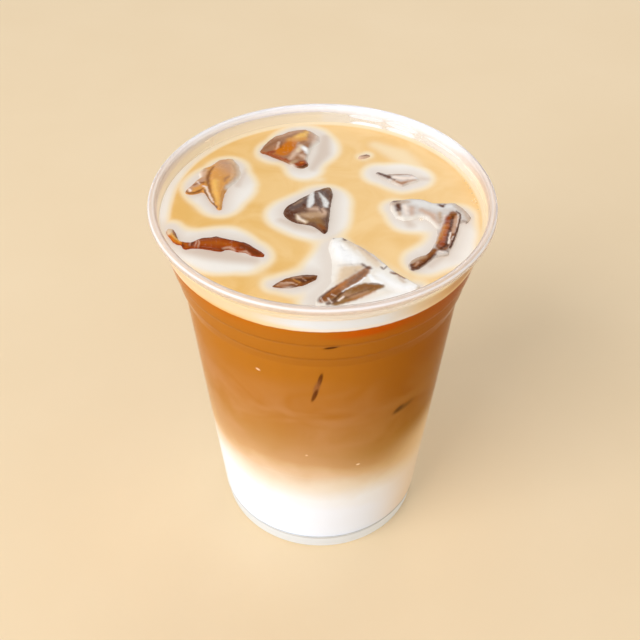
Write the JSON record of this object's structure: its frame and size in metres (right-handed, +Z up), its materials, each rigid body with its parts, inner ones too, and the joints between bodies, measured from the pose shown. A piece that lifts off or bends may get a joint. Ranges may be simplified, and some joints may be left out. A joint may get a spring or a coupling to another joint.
{
  "type": "iced latte",
  "caption": "Iced latte in a clear tapered throwaway cup: milk at the bottom, brown coffee above it and clear ice in a pale tan foam top.",
  "frame": {"origin": "centre of the cup's base, on the surface it stands on", "axes": "+Z up, along the cup's axis; -Y towards the side the picture is taken from; +X to the right in the picture"},
  "size_m": [0.098, 0.098, 0.122],
  "materials": {
    "clear_plastic": "clear, glossy",
    "milk_white": "opaque liquid behind clear plastic",
    "coffee_brown": "opaque liquid behind clear plastic",
    "foam_tan": "soft, fine foam with pale rings round the ice",
    "clear_ice": "wet, clear with frosted places"
  },
  "bodies": {
    "root": {"cup": "clear_plastic", "milk": "milk_white", "coffee": "coffee_brown", "milk_foam": "foam_tan", "ice_1": "clear_ice", "ice_2": "clear_ice", "ice_3": "clear_ice", "ice_4": "clear_ice", "ice_5": "clear_ice", "ice_6": "clear_ice", "ice_7": "clear_ice", "ice_8": "clear_ice", "ice_9": "clear_ice"}
  },
  "joints": []
}
